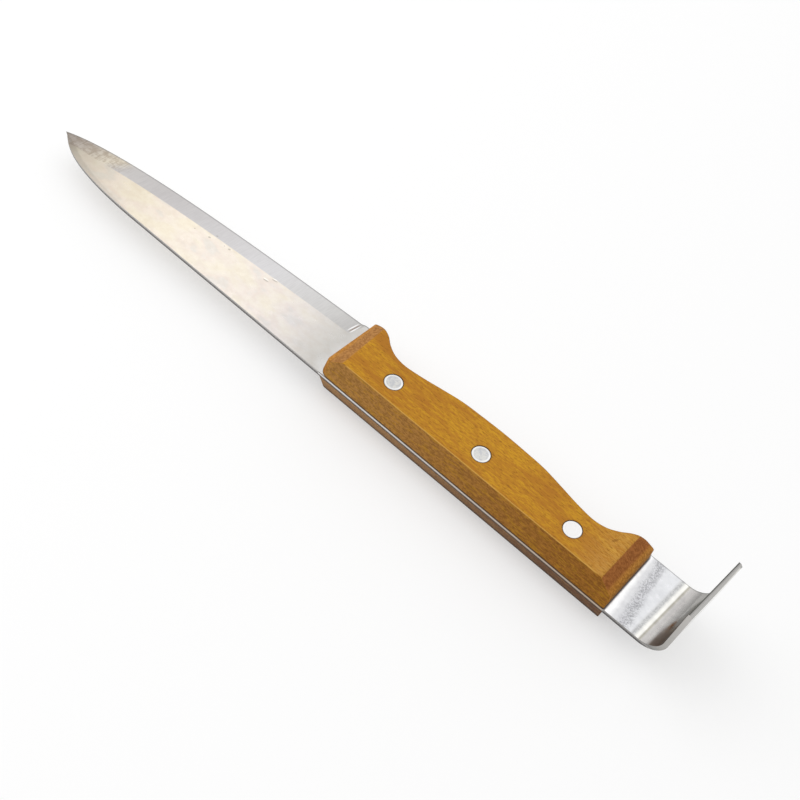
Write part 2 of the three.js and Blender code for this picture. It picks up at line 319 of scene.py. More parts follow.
class Wire:
    """A shader socket. An expression on wires adds its Math nodes."""

    def __init__(self, tree, socket):
        self.tree = tree
        self.socket = socket

    def math(self, operation, *values):
        node = self.tree.nodes.new("ShaderNodeMath")
        node.operation = operation
        for slot, value in zip(node.inputs, values):
            if isinstance(value, Wire):
                self.tree.links.new(value.socket, slot)
            else:
                slot.default_value = value
        return Wire(self.tree, node.outputs[0])

    def __add__(self, other):
        return self.math("ADD", self, other)

    __radd__ = __add__

    def __sub__(self, other):
        return self.math("SUBTRACT", self, other)

    def __rsub__(self, other):
        return self.math("SUBTRACT", other, self)

    def __mul__(self, other):
        return self.math("MULTIPLY", self, other)

    __rmul__ = __mul__

    def __truediv__(self, other):
        return self.math("DIVIDE", self, other)

    def __pow__(self, other):
        return self.math("POWER", self, other)

    def __abs__(self):
        return self.math("ABSOLUTE", self)


class NodeTree:
    """A node tree, and the nodes that mix its colours."""

    def __init__(self, tree):
        self.tree = tree

    def node(self, kind, settings, sockets, output):
        """Adds a node. Its settings are set first, a ramp's stops among them, then its sockets."""
        node = self.tree.nodes.new(kind)
        for name, value in settings.items():
            if name == "stops":
                marks = node.color_ramp.elements
                while len(marks) < len(value):
                    marks.new(1)
                for mark, (position, colour) in zip(marks, value):
                    mark.position = position
                    mark.color = (*colour, 1)
            else:
                setattr(node, name, value)
        for name, value in sockets.items():
            if isinstance(value, Wire):
                self.tree.links.new(value.socket, node.inputs[name])
            else:
                node.inputs[name].default_value = value
        return Wire(self.tree, node.outputs[output])

    def between(self, value, low, high):
        """0 at low, 1 at high, and smooth between them. Low may be the larger."""
        if low > high:
            return 1 - self.between(value, high, low)
        return self.node(
            "ShaderNodeMapRange", {"interpolation_type": "SMOOTHSTEP"},
            {"Value": value, "From Min": low, "From Max": high}, 0,
        )

    def mix(self, share, first, second, blend="MIX"):
        """Two colours mixed. The node's colour sockets share their names with others, so they go
        by number."""
        def colour(value):
            return value if isinstance(value, Wire) else (*value, 1.0)

        return self.node(
            "ShaderNodeMix", {"data_type": "RGBA", "blend_type": blend},
            {0: share, 6: colour(first), 7: colour(second)}, 2,
        )

    def shades(self, value, stops):
        """Colours at given values, blended from one to the next."""
        first, last = stops[0][0], stops[-1][0]
        places = [((at - first) / (last - first), colour) for at, colour in stops]
        share = (value - first) / (last - first)
        return self.node("ShaderNodeValToRGB", {"stops": places}, {"Fac": share}, 0)


class Finish(NodeTree):
    """A material on one Principled shader. Its measures are handle millimetres."""

    def __init__(self, name, **constants):
        self.material = bpy.data.materials.new(name)
        self.material.use_nodes = True
        super().__init__(self.material.node_tree)
        self.shader = self.tree.nodes["Principled BSDF"]
        for socket, value in constants.items():
            self.shader.inputs[socket.replace("_", " ")].default_value = value
        where = self.node("ShaderNodeTexCoord", {}, {}, "Object")
        facing = self.node("ShaderNodeTexCoord", {}, {}, "Normal")
        origin = [-value / MM for value in HANDLE_ORIGIN]
        self.point = self.node(
            "ShaderNodeMapping", {},
            {"Vector": where, "Location": origin, "Scale": [1 / MM] * 3}, "Vector",
        )
        self.x, self.y, self.z = self.split(self.point)
        self.facing_x, self.facing_y, self.facing_z = self.split(facing)

    def split(self, vector):
        """A vector's three parts."""
        x = self.node("ShaderNodeSeparateXYZ", {}, {"Vector": vector}, "X")
        return [Wire(self.tree, socket) for socket in x.socket.node.outputs]

    def noise(self, along, across, up, detail=2.0, roughness=0.5, distortion=0.0):
        """Cloudy noise with so many cells to a millimetre each way: few draw it out that way."""
        cells = self.node(
            "ShaderNodeVectorMath", {"operation": "MULTIPLY"},
            {0: self.point, 1: (along, across, up)}, 0,
        )
        return self.node(
            "ShaderNodeTexNoise", {"noise_dimensions": "3D"},
            {"Vector": cells, "Scale": 1.0, "Detail": detail, "Roughness": roughness,
             "Distortion": distortion}, 0,
        )

    def mark(self, x, y, half_length, half_width, turn=0):
        """1 in the middle of an oval mark and 0 outside it. The mark is turned so many degrees
        from the tool's length."""
        cos, sin = math.cos(math.radians(turn)), math.sin(math.radians(turn))
        along = (self.x - x) * cos + (self.y - y) * sin
        across = (self.y - y) * cos - (self.x - x) * sin
        return self.between((along / half_length) ** 2 + (across / half_width) ** 2, 1, 0.15)

    def from_rivet(self, rivet_x):
        """Distance from a rivet's axis."""
        return ((self.x - rivet_x) ** 2 + (self.y - RIVET_Y) ** 2) ** 0.5

    def bump(self, height, distance, strength):
        """Fine relief, a distance in millimetres deep."""
        self.feed("Normal", self.node(
            "ShaderNodeBump", {},
            {"Height": height, "Distance": distance * MM, "Strength": strength}, "Normal",
        ))

    def feed(self, socket, wire):
        self.tree.links.new(wire.socket, self.shader.inputs[socket])


# Colours along the tool on the blade's rolled face and on its ground band, partly the steel's own
# tone and partly painted reflection: the face is brightest mid-blade, and the band is greyer
# because it faces darker surroundings.
FACE_TONES_AND_REFLECTIONS = [
    (-238, (0.34, 0.31, 0.27)), (-222, (0.56, 0.52, 0.43)), (-200, (0.72, 0.66, 0.56)),
    (-166, (0.8, 0.745, 0.65)), (-113, (0.79, 0.745, 0.68)), (-96, (0.72, 0.69, 0.66)),
    (-80, (0.57, 0.555, 0.53)), (-70, (0.7, 0.7, 0.7)),
]
BAND_TONES_AND_REFLECTIONS = [
    (-238, (0.38, 0.34, 0.31)), (-225, (0.5, 0.45, 0.4)), (-208, (0.73, 0.67, 0.56)),
    (-202, (0.6, 0.58, 0.57)), (-180, (0.57, 0.55, 0.55)), (-122, (0.72, 0.71, 0.72)),
    (-90, (0.65, 0.64, 0.63)), (-80, (0.56, 0.55, 0.54)),
]
# The same behind the handle, on the flat and inside the bend. On the flat they are painted lighter
# next to the wood, against the shade there, and a painted highlight runs along where the bend
# starts. Inside the bend they are painted reflections.
HOOK_TONES_AND_LIGHT = [
    (72, (0.9, 0.9, 0.9)), (74.6, (0.86, 0.86, 0.86)), (76.6, (0.62, 0.62, 0.63)),
    (80.5, (0.56, 0.56, 0.58)), (83, (0.62, 0.625, 0.64)), (86.8, (0.64, 0.645, 0.66)),
    (88, (0.55, 0.55, 0.55)), (89, (0.56, 0.56, 0.55)), (90, (0.8, 0.79, 0.75)),
]
BEND_REFLECTIONS = [
    (90.8, (0.8, 0.79, 0.75)), (91.4, (0.4, 0.38, 0.32)), (92.4, (0.64, 0.62, 0.605)),
    (95, (0.55, 0.535, 0.52)), (98, (0.4, 0.39, 0.37)), (99.3, (0.24, 0.23, 0.21)),
    (100.4, (0.5, 0.49, 0.47)),
]
# Colours by height on the strip's sheared sides and on the tang's, which is sanded with the wood.
# Both hold painted light: a highlight along the upper arris with shade below it, and on the tang a
# bright middle between dark painted gap shadows against the scales.
SIDE_LIGHT_AND_SHADE = [
    (-1.2, (0.1, 0.1, 0.1)), (-0.5, (0.16, 0.15, 0.15)), (0.1, (0.36, 0.35, 0.34)),
    (0.7, (0.62, 0.6, 0.58)), (1.6, (0.3, 0.3, 0.29)), (6, (0.42, 0.41, 0.39)),
    (31, (0.52, 0.5, 0.48)),
]
TANG_LIGHT_AND_SHADE = [
    (-1.1, (0.08, 0.07, 0.06)), (-0.7, (0.14, 0.13, 0.12)), (-0.2, (0.6, 0.58, 0.57)),
    (0.25, (0.95, 0.94, 0.95)), (0.65, (0.25, 0.23, 0.2)), (1.1, (0.06, 0.05, 0.04)),
]
# Colours across the lip's top edge, and faint tints of the rolled face by cloud.
TOP_SHADES = [
    (100.6, (0.06, 0.06, 0.055)), (101.1, (0.1, 0.1, 0.09)), (101.5, (0.37, 0.36, 0.35)),
]
CLOUD_TINTS = [
    (0.38, (1.0, 0.99, 0.95)), (0.48, (1.0, 0.99, 0.99)), (0.56, (0.99, 0.96, 0.98)),
    (0.64, (0.92, 0.93, 0.97)),
]
# A dark brown, used as painted shade in the joints between steel and wood and towards the lower
# scale's foot, and for the dark ring round each rivet.
GRIME_AND_SHADE = (0.035, 0.02, 0.012)
PIT = (0.36, 0.33, 0.28)
NICK = (0.36, 0.34, 0.3)
BURR = (0.98, 0.97, 0.93)
SCORE = (0.3, 0.22, 0.18)
SCORE_GLINT = (0.98, 0.98, 0.98)
WOOD_REFLECTION = (0.18, 0.145, 0.12)
STAIN = (0.25, 0.25, 0.26)
EDGE_LINE = (0.27, 0.26, 0.25)
FAR_RIM = (0.2, 0.2, 0.19)
GROUND_LIP = (0.52, 0.51, 0.49)
PITS = [  # along, up, half its length
    (-153.1, 16.9, 0.8), (-142.9, 18.6, 0.8), (-151.5, 20, 0.6), (-160.7, 15.6, 0.5),
    (-145.6, 18.3, 0.4),
]
NICKS = [(-118.4, 21, 12), (-121, 18.2, 8)]  # along, up, turn in degrees
# Each score is a dark line between two white strokes, which are painted glints.
SCORES = [(-80.1, SCORE_GLINT), (-79.3, SCORE), (-78.6, SCORE_GLINT)]  # lines across the heel
SCORE_Y = 28.4
STAIN_X = 83.3  # the hook's grey stain at the spine side, which leans towards the wood
STAIN_LEAN = 0.165
SHADE_LEAN = 0.13  # and so do the shades round it
THIN_STAIN_X = 88.4
WOOD_CORNER_Y = 31.6  # where the scales' ends start to round over
WOOD_SKEW = 0.02  # how askew those ends are, both taken together
# Where a finish or mark fades in: the place where it starts to show, and where it shows in full.
TINTED_X = (-78, -110)
BROWNED_X = (-200, -210)
NARROWED_X = (-215, POINT_X)
GROUND_X = (-77, -81)
HOOK_X = (72, 73)
SLANTED_X = (86.5, 82)
BENT_X = (90.7, 91)
# Where the painted reflection of the wood inside the bend shows.
WOOD_REFLECTION_ABOVE, WOOD_REFLECTION_BELOW, WOOD_REFLECTION_Y = (1.7, 2.6), (8, 5.5), (15, 2)
FAR_RIM_Y = (33.4, 33.8)
CONTACT_SHADE_X = (-70, 72)
DARKENED_X, DARKENED_Z = (70, 76), (2.5, 1)
LIP_TOP_Z, LIP_GROUND_Z = (30, 30.5), (29.9, 30.2)
SMOOTH_X, SMOOTH_Z = (80, 88), (1.2, 2)


def blade_colour(steel, cloud, mottle, grinding, distance, band):
    """The rolled face, and the ground band near the edge, with a browned point, a dark line along
    the edge itself, pits, two nicks with their burrs, and the scores on the heel. The colours along
    face and band are partly painted reflection, and the scores' white sides are painted glints."""
    # Face and band colours along the tool: partly the steel's own tone, partly painted reflection.
    face = steel.shades(steel.x + 14 * (cloud - 0.5), FACE_TONES_AND_REFLECTIONS)
    dulled = steel.between(mottle, 0.38, 0.68) * 0.35
    face = steel.mix(dulled, face, (0.92, 0.87, 0.82), "MULTIPLY")
    tints = steel.shades(cloud, CLOUD_TINTS)
    face = steel.mix(steel.between(steel.x, *TINTED_X), face, tints, "MULTIPLY")

    ground = steel.shades(steel.x + 0.5 * distance + 5 * (cloud - 0.5), BAND_TONES_AND_REFLECTIONS)
    browned = steel.between(mottle * 0.6 + grinding * 0.4, 0.42, 0.58)
    browned = browned * steel.between(steel.x, *BROWNED_X)
    ground = steel.mix(browned * 0.45, ground, (0.52, 0.42, 0.33), "MULTIPLY")
    lines = steel.between(grinding, 0.4, 0.62) * 0.16
    ground = steel.mix(lines, ground, (0.6, 0.6, 0.6), "MULTIPLY")
    colour = steel.mix(band, face, ground)
    colour = steel.mix(steel.between(distance, 0.8, 0.2) * 0.75, colour, EDGE_LINE)

    for x, y, size in PITS:
        colour = steel.mix(steel.mark(x, y, size, size * 0.7, 20) * 0.6, colour, PIT)
    for x, y, turn in NICKS:
        colour = steel.mix(steel.mark(x, y, 1.7, 0.45, turn) * 0.6, colour, NICK)
        colour = steel.mix(steel.mark(x - 0.3, y + 0.6, 1.6, 0.4, turn) * 0.7, colour, BURR)
    for x, shade in SCORES:
        colour = steel.mix(steel.mark(x, SCORE_Y, 4.2, 0.42, 84) * 0.85, colour, shade)
    return colour


def hook_colour(steel, cloud, mottle, speckle, bend_x, inner, wood_reflection):
    """The strip behind the handle: a grey stain across it and a thin one along the fold, painted
    lighter next to the wood against the shade there, a painted highlight where the bend starts,
    painted reflections inside the bend with a dark painted reflection of the wood as a patch, and a
    dark far rim."""
    slant = SHADE_LEAN * (steel.y - MIDDLE_Y) * steel.between(bend_x, *SLANTED_X)
    # Painted light on the flat: lighter next to the wood against the shade there, and a highlight
    # stripe where the bend starts.
    hook = steel.shades(bend_x + slant, HOOK_TONES_AND_LIGHT)
    off_stain = abs(steel.x - STAIN_X + STAIN_LEAN * steel.y + 4 * (cloud - 0.5))
    stain = steel.between(off_stain, 3.8, 0.5)
    stain = stain + steel.between(abs(bend_x - THIN_STAIN_X), 1.1, 0.3) * 0.6
    hook = steel.mix(stain * (0.1 + 0.7 * speckle), hook, STAIN)
    # Painted reflections across the inside of the bend.
    bend_reflections = steel.mix(mottle, steel.shades(bend_x, BEND_REFLECTIONS), (0.8, 0.8, 0.8), "MULTIPLY")
    # A dark brown patch on the spine side of the bend: a painted reflection of the wood.
    bend_reflections = steel.mix(wood_reflection * 0.9, bend_reflections, WOOD_REFLECTION)
    hook = steel.mix(steel.between(bend_x, *BENT_X) * inner, hook, bend_reflections)
    dulled = steel.between(cloud * 0.4 + mottle * 0.6, 0.42, 0.6) * 0.35
    hook = steel.mix(dulled, hook, (0.84, 0.84, 0.86), "MULTIPLY")
    far_rim = steel.between(steel.y, *FAR_RIM_Y) * steel.between(steel.facing_z, 0.2, 0.5)
    return steel.mix(far_rim * 0.6, hook, FAR_RIM)


def side_colour(steel, mottle, speckle):
    """The sheared sides, with a painted highlight along the upper arris and painted shade below it,
    darker behind the handle, and the tang's edge, painted bright in the middle with gap shadows at
    both scales and browner to the rear.
    """
    # Painted highlight on the upper arris, and painted shade below it.
    sheared = steel.shades(steel.z + 0.3 * (speckle - 0.5), SIDE_LIGHT_AND_SHADE)
    behind = steel.between(steel.x, *DARKENED_X) * steel.between(steel.z, *DARKENED_Z)
    sheared = steel.mix(behind, sheared, (0.7, 0.7, 0.7), "MULTIPLY")
    on_tang = steel.between(abs(steel.x), HANDLE_HALF + 0.5, HANDLE_HALF)
    # Painted bright middle, and painted gap shadows next to both scales.
    tang = steel.shades(steel.z + 0.2 * (mottle - 0.5), TANG_LIGHT_AND_SHADE)
    rearward = steel.between(steel.x, -HANDLE_HALF, HANDLE_HALF)
    tang = steel.mix(rearward, tang, (0.72, 0.6, 0.49), "MULTIPLY")
    return steel.mix(on_tang, sheared, tang)


def stainless_steel():
    """Satin strip: a cloudy rolled face, a finely ground band, rough sheared sides, a stained hook
    with a smoother bend, and painted shade where the steel meets the wood."""
    steel = Finish("stainless_steel", Metallic=1.0)
    cloud = steel.noise(0.07, 0.12, 0.12, detail=3)
    mottle = steel.noise(0.35, 0.45, 0.45, detail=4, roughness=0.6)
    grain = steel.noise(1.4, 1.6, 1.6, detail=3, roughness=0.7)
    grinding = steel.noise(3.5, 0.15, 0.5, detail=3)
    speckle = steel.between(grain, 0.42, 0.6)

    distance = steel.node("ShaderNodeAttribute", {"attribute_name": "from_edge"}, {}, "Fac")
    taper = BEVEL_TAPER * steel.between(steel.x, *NARROWED_X)
    band = steel.between(distance + taper, BEVEL_WIDTH + 0.15, BEVEL_WIDTH - 0.15)
    band = band * steel.between(steel.x, *GROUND_X)
    bend_x = steel.x - math.tan(BEND_SKEW) * (steel.y - MIDDLE_Y)
    inner = steel.between(steel.facing_z - steel.facing_x, 0, 0.3)
    # Mask for the dark painted reflection of the wood inside the bend.
    wood_reflection = steel.between(steel.z, *WOOD_REFLECTION_ABOVE) * steel.between(steel.z, *WOOD_REFLECTION_BELOW)
    wood_reflection = wood_reflection * steel.between(steel.y, *WOOD_REFLECTION_Y)

    colour = blade_colour(steel, cloud, mottle, grinding, distance, band)
    hook = hook_colour(steel, cloud, mottle, speckle, bend_x, inner, wood_reflection)
    colour = steel.mix(steel.between(steel.x, *HOOK_X), colour, hook)
    # Painted shade on the steel along the scales' ends, where the steel meets the wood.
    corner = steel.y.math("MAXIMUM", steel.y - WOOD_CORNER_Y, 0)
    from_wood = abs(steel.x) - HANDLE_HALF + WOOD_SKEW * (steel.y - MIDDLE_Y) + 0.15 * corner ** 2
    contact_shade = steel.between(from_wood, -1.5, -1) * steel.between(from_wood, 1, 0.3)
    contact_shade = contact_shade * steel.between(steel.x, *CONTACT_SHADE_X)
    colour = steel.mix(contact_shade * 0.85, colour, GRIME_AND_SHADE)
    side = steel.between(abs(steel.facing_y), 0.75, 0.9)
    colour = steel.mix(side, colour, side_colour(steel, mottle, speckle))
    lip_top = steel.between(steel.z, *LIP_TOP_Z) * steel.between(steel.facing_z, 0.85, 0.95)
    colour = steel.mix(lip_top, colour, steel.shades(bend_x, TOP_SHADES))
    lip_ground = steel.between(steel.z, *LIP_GROUND_Z) * steel.between(steel.facing_x, 0.3, 0.6)
    colour = steel.mix(lip_ground, colour, GROUND_LIP)
    steel.feed("Base Color", colour)

    bend = steel.between(steel.x, *SMOOTH_X) * steel.between(steel.z, *SMOOTH_Z)
    polish = 0.2 + 0.14 * mottle + 0.06 * grain + 0.06 * band + 0.2 * side - 0.12 * bend
    steel.feed("Roughness", polish + 0.4 * wood_reflection * inner)
    steel.bump(mottle * 0.4 + grain * 0.1 + grinding * band * 0.3, 0.02, 0.3)
    return steel.material


strip.data.materials.append(stainless_steel())
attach(strip, "root")
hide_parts("blade_tang_and_hook")


# ---- The upper scale ----------------------------------------------------------------------------
# An oiled hardwood scale, sawn with its grain along the tool, shaped with the tang between both
# scales and sanded. Its long sides lean in, both its ends are chamfered and its arrises are eased.

FACE_Z = 11  # the scales' flat faces, above and below the strip's middle
CHAMFER_SLOPE = math.tan(math.radians(31))
CHAMFER_START = 66.0
CHAMFER_SOFTNESS = 0.35
FRONT_SKEW = math.tan(math.radians(3.3))  # the front chamfer was cut slightly askew
FRONT_END_SKEW, REAR_END_SKEW = 0.0435, -0.018  # and so were the ends
SKEW_FADE = 55  # where that skew starts to show
ARRIS = 0.4
FRONT_CORNER, REAR_CORNER = 1.8, 3  # radii of the guards' outer corners, seen from above
SPINE_CORNER = 0.8
HEAD_HEIGHT = 2.2
HEAD_HOLE = 4
HOLE_OVERLAP = 0.1  # how far a rivet's two holes run into each other
# Where a colour of the wood fades in, as for the steel.
REAR_X = (45, 68)
END_X = (64, 65.5)
LIT_EDGE_X = (70.2, 72)
WORN_AND_LIT_X = (65, 63)
FOOT_SHADE_Z = (4 - FACE_Z, 1 - FACE_Z)
TANG_SHADE_Z = (1.5, 1.15)
RIVET_RING = (4.4, 4.1)
FLECK = (60.6, 21.2, 2.2, 0.7, 65)  # along, up, half its length and width, turn in degrees


def corner_inset(x, radius):
    """How far a rounded corner draws a side in, at a station near the end of the handle."""
    left = radius - (HANDLE_HALF - abs(x))
    return radius - math.sqrt(max(radius ** 2 - left ** 2, 0)) if left > 0 else 0


def chamfer_height(x, y):
    """Height of the upper scale's top: flat, then sloping down to each end with its last edge
    rounded over."""
    skew = FRONT_SKEW * (y - MIDDLE_Y) if x < 0 else 0
    beyond = abs(x) - CHAMFER_START - skew
    drop = CHAMFER_SLOPE * (beyond + math.sqrt(beyond ** 2 + CHAMFER_SOFTNESS ** 2)) / 2
    return FACE_Z - drop - 0.8 * corner_inset(x, 1.6)


def plain_height(x, y):
    """Height of the lower scale's face, whose ends are left square and only eased."""
    return FACE_Z - corner_inset(x, 0.5)


def eased(start, corner, end):
    """A corner rounded over, as points from one side of it to the other."""
    return [
        start * (1 - t) ** 2 + corner * (2 * t * (1 - t)) + end * t ** 2
        for t in spaced(0, 1, 0.2) + [1]
    ]


def side_profile(foot, inward, height_at, x):
    """One long side of a scale, from the steel up over the arris, as points across and up."""
    lean = inward * SIDE_SLOPE / (FACE_Z - HALF_STEEL)
    top = height_at(x, foot + inward * SIDE_SLOPE)
    corner = Vector((foot + lean * (top - HALF_STEEL), top))
    base = Vector((foot, HALF_STEEL))
    down = (base - corner).normalized()
    start = corner + down * ARRIS
    end = corner + Vector((inward * ARRIS, 0))
    end.y = height_at(x, end.x)
    return [base.lerp(start, share) for share in spaced(0, 1, 0.25)] + eased(start, corner, end)


def scale_ring(x, side, height_at, lean_in, low_round):
    """A scale's section: up the spine side, across its face, down the other side and back along
    the steel. Its ends lean in, and its front's lower corner is rounded over its whole height."""
    front = x < 0
    left = side_profile(corner_inset(x, low_round) if front else 0, 1, height_at, x)
    right = side_profile(tang_height(x), -1, height_at, x)
    face = [left[-1].lerp(right[-1], share) for share in spaced(0, 1, 0.1)[1:]]
    face = [Vector((point.x, height_at(x, point.x))) for point in face]
    flat = left + face + right[::-1]
    flat += [right[0].lerp(left[0], share) for share in (0.25, 0.5, 0.75)]
    low = corner_inset(x, SPINE_CORNER)
    high = REAR_GUARD + SIDE_SLOPE - corner_inset(x, FRONT_CORNER if front else REAR_CORNER)
    for point in flat:
        point.x = min(max(point.x, low), high)
    skew = FRONT_END_SKEW if front else REAR_END_SKEW
    tilt = skew * ramp(abs(x), SKEW_FADE, HANDLE_HALF)
    ring = []
    for point in flat:
        depth = (point.y - HALF_STEEL) / (FACE_Z - HALF_STEEL)
        slope = math.copysign(lean_in * depth * ramp(abs(x), 60, HANDLE_HALF), x)
        ring.append(place(x + tilt * (point.x - MIDDLE_Y) - slope, point.x, side * point.y))
    return ring


ROUNDED_END = 6  # length over which the stations crowd towards each end
end_stations = [
    HANDLE_HALF - ROUNDED_END * (1 - math.cos(angle)) for angle in spaced(0, math.pi / 2, 0.06)
]
scale_stations = [-x for x in end_stations]
scale_stations += spaced(-HANDLE_HALF + ROUNDED_END, HANDLE_HALF - ROUNDED_END, 0.75)
scale_stations += end_stations[::-1]


def make_scale(name, side, height_at, lean_in, low_round):
    """One scale, above or below the tang, with its rivet holes."""
    rings = [scale_ring(x, side, height_at, lean_in, low_round) for x in scale_stations]
    scale = rolled(name, rings)
    seat = FACE_Z - HEAD_HEIGHT
    for rivet_x in RIVET_PLACES.values():
        drill(scale, HEAD_HOLE, *sorted((side * seat, side * (FACE_Z + 1))), rivet_x)
        drill(scale, TUBE_HOLE, *sorted((side * 0.5, side * (seat + HOLE_OVERLAP))), rivet_x)
    pick(scale)
    bpy.ops.object.shade_smooth_by_angle(angle=math.radians(25))
    return scale


def hardwood(name, light, dark, rear, pore, sides, ends, lit_end_edge, arris):
    """Oiled hardwood: streaks and fine dark pores along the tool, speckled sides that are darker
    partly as painted shade, deeper end grain painted lighter at the front and darker at the rear as
    painted light and shade, with painted light bounced on to its outer edges, an arris on the spine
    side that is lighter with wear and a painted highlight, a dark one opposite in painted shade,
    painted shade in its joint with the tang and towards the lower scale's foot, and a dark ring
    round its rivets. Colours given in pairs are the front's and the rear's."""
    wood = Finish(name, Specular_IOR_Level=0.12)
    figure = wood.noise(0.035, 0.14, 0.14, detail=3, distortion=0.8)
    streak = wood.noise(0.12, 0.9, 0.9, detail=4, roughness=0.6, distortion=0.3)
    fibre = wood.noise(0.4, 2.6, 2.6, detail=3, roughness=0.65)
    dash = wood.noise(0.45, 2.1, 2.1, detail=2, roughness=0.5)
    speck = wood.noise(0.6, 0.8, 0.8, detail=5, roughness=0.8)
    rearward = wood.between(wood.x, -HANDLE_HALF, HANDLE_HALF)

    pores = wood.between(dash, 0.56, 0.68)
    colour = wood.mix(wood.between(figure * 0.55 + streak * 0.45, 0.38, 0.6), dark, light)
    colour = wood.mix(wood.between(wood.x, *REAR_X) * 0.6, colour, rear)
    colour = wood.mix(wood.between(fibre, 0.42, 0.6) * 0.75, colour, dark)
    colour = wood.mix(pores * 0.5, colour, pore)

    # The sides are darker than the top, partly through the wood's own colour and partly as painted
    # shade.
    side = wood.mix(rearward, *sides)
    specks = wood.between(speck * 0.6 + fibre * 0.4, 0.43, 0.57) * 0.9
    side = wood.mix(specks, side, (0.6, 0.57, 0.5), "MULTIPLY")
    side = wood.mix(wood.between(streak * 0.6 + dash * 0.4, 0.5, 0.6) * 0.4, side, light)
    colour = wood.mix(wood.between(abs(wood.facing_y), 0.5, 0.7), colour, side)

    on_end = wood.between(abs(wood.facing_x), 0.3, 0.45) * wood.between(abs(wood.x), *END_X)
    # The end grain is lighter at the front and darker at the rear: painted light and shade on the
    # wood's own darker end grain.
    end = wood.mix(wood.between(wood.x, -5, 5), *ends)
    # The ends' outer edges are painted lighter, as light bounced on to them from the steel.
    on_edge = wood.between(abs(wood.x) + 1.5 * (speck - 0.5), *LIT_EDGE_X)
    end = wood.mix(on_edge, end, lit_end_edge)
    specks = wood.between(speck * 0.7 + dash * 0.3, 0.42, 0.58) * 0.85
    end = wood.mix(specks, end, (0.6, 0.53, 0.42), "MULTIPLY")
    colour = wood.mix(on_end, colour, end)

    steepness = abs(wood.facing_z)
    on_arris = wood.between(steepness, 0.42, 0.55) * wood.between(steepness, 0.99, 0.95)
    upper_edge = wood.between(wood.facing_y, 0.05, 0.2)
    # The spine side's arris is lighter, partly from wear and partly as a painted highlight.
    worn_and_lit = on_arris * (1 - on_end) * (1 - upper_edge) * wood.between(abs(wood.x), *WORN_AND_LIT_X)
    colour = wood.mix(worn_and_lit * 0.6, colour, arris)
    # Painted shade on the far arris, which turns away from the light.
    colour = wood.mix(on_arris * upper_edge * 0.7, colour, pore)

    # Painted shade, darker towards the lower scale's foot where it sits on the table.
    colour = wood.mix(wood.between(wood.z, *FOOT_SHADE_Z) * 0.7, colour, GRIME_AND_SHADE)
    colour = wood.mix(wood.mark(*FLECK) * 0.45, colour, pore)
    for rivet_x in RIVET_PLACES.values():
        ring = wood.between(wood.from_rivet(rivet_x), *RIVET_RING)
        colour = wood.mix(ring * 0.7, colour, GRIME_AND_SHADE)
    # Painted gap shadow on the wood next to the tang.
    colour = wood.mix(wood.between(abs(wood.z), *TANG_SHADE_Z) * 0.8, colour, GRIME_AND_SHADE)
    wood.feed("Base Color", colour)
    wood.feed("Roughness", 0.55 + 0.1 * streak + 0.15 * pores)
    wood.bump(fibre * 0.35 + streak * 0.3 - pores * 0.8 + speck * 0.3, 0.06, 0.5)
    return wood.material


upper_scale = make_scale("upper_scale", 1, chamfer_height, lean_in=0, low_round=5)
upper_scale.data.materials.append(hardwood(
    "hardwood_upper",
    light=(0.58, 0.29, 0.018), dark=(0.42, 0.17, 0.018), rear=(0.6, 0.33, 0.08),
    pore=(0.2, 0.08, 0.012), sides=((0.48, 0.235, 0.06), (0.36, 0.145, 0.02)),
    ends=((0.46, 0.215, 0.06), (0.38, 0.138, 0.033)), lit_end_edge=(0.56, 0.25, 0.045),
    arris=(0.78, 0.45, 0.1),
))
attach(upper_scale, "root")
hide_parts("handle_scale_upper")


# ---- The lower scale ----------------------------------------------------------------------------
# The same hardwood under the tang. Its long sides lean in as the upper scale's do, but its ends
# are cut plain, leaning in only slightly, and the tool lies on its flat face.

lower_scale = make_scale("lower_scale", -1, plain_height, lean_in=0.7, low_round=2)
lower_scale.data.materials.append(hardwood(
    "hardwood_lower",
    light=(0.38, 0.215, 0.085), dark=(0.27, 0.14, 0.055), rear=(0.34, 0.2, 0.08),
    pore=(0.12, 0.06, 0.03), sides=((0.42, 0.22, 0.08), (0.155, 0.061, 0.018)),
    ends=((0.3, 0.16, 0.06), (0.2, 0.1, 0.04)), lit_end_edge=(0.25, 0.13, 0.06),
    arris=(0.4, 0.23, 0.1),
))
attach(lower_scale, "root")
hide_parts("handle_scale_lower")


# ---- The rivets ---------------------------------------------------------------------------------
# Cutlery rivets in soft aluminium. The male half's pin is pressed into the female half's tube, so
# that their two flat heads pull both scales on to the tang, and the heads are sanded flush with
# the wood.

HEAD_RADIUS = 3.85
SHANK = 12.5
PIN_RADIUS = 1.5
TUBE_RADIUS = 2.5
BORE_RADIUS = 1.7
BORE_FLOOR = 1  # steel-side end of the bore, short of the head
HEAD_RINGS = (0.35, 1.0, 1.2)  # widths of the rings of faces on a head, from its rim inwards
CROWN = 0.03  # how far a head falls from its middle to its rim
RIM_EASING = 0.1  # and how far more over its last twentieth
RIM_SHARE = 0.95
SAME_HEIGHT = 0.01
BURNISHED_INSIDE, BURNISHED_OUTSIDE = (2.9, 3.3), (3.8, 3.6)  # from a rivet's axis
BRIGHTER_X = (20, 40)


def pick_faces_at(piece, height):
    """Selects the faces of the piece in edit mode whose middles lie at one height."""
    bpy.ops.mesh.select_all(action="DESELECT")
    bpy.ops.object.mode_set(mode="OBJECT")
    for face in piece.data.polygons:
        level = abs(face.center.z - height) < SAME_HEIGHT * MM
        face.select = level and abs(face.normal.z) > 0.9
    bpy.ops.object.mode_set(mode="EDIT")
    bpy.ops.mesh.select_mode(type="FACE")


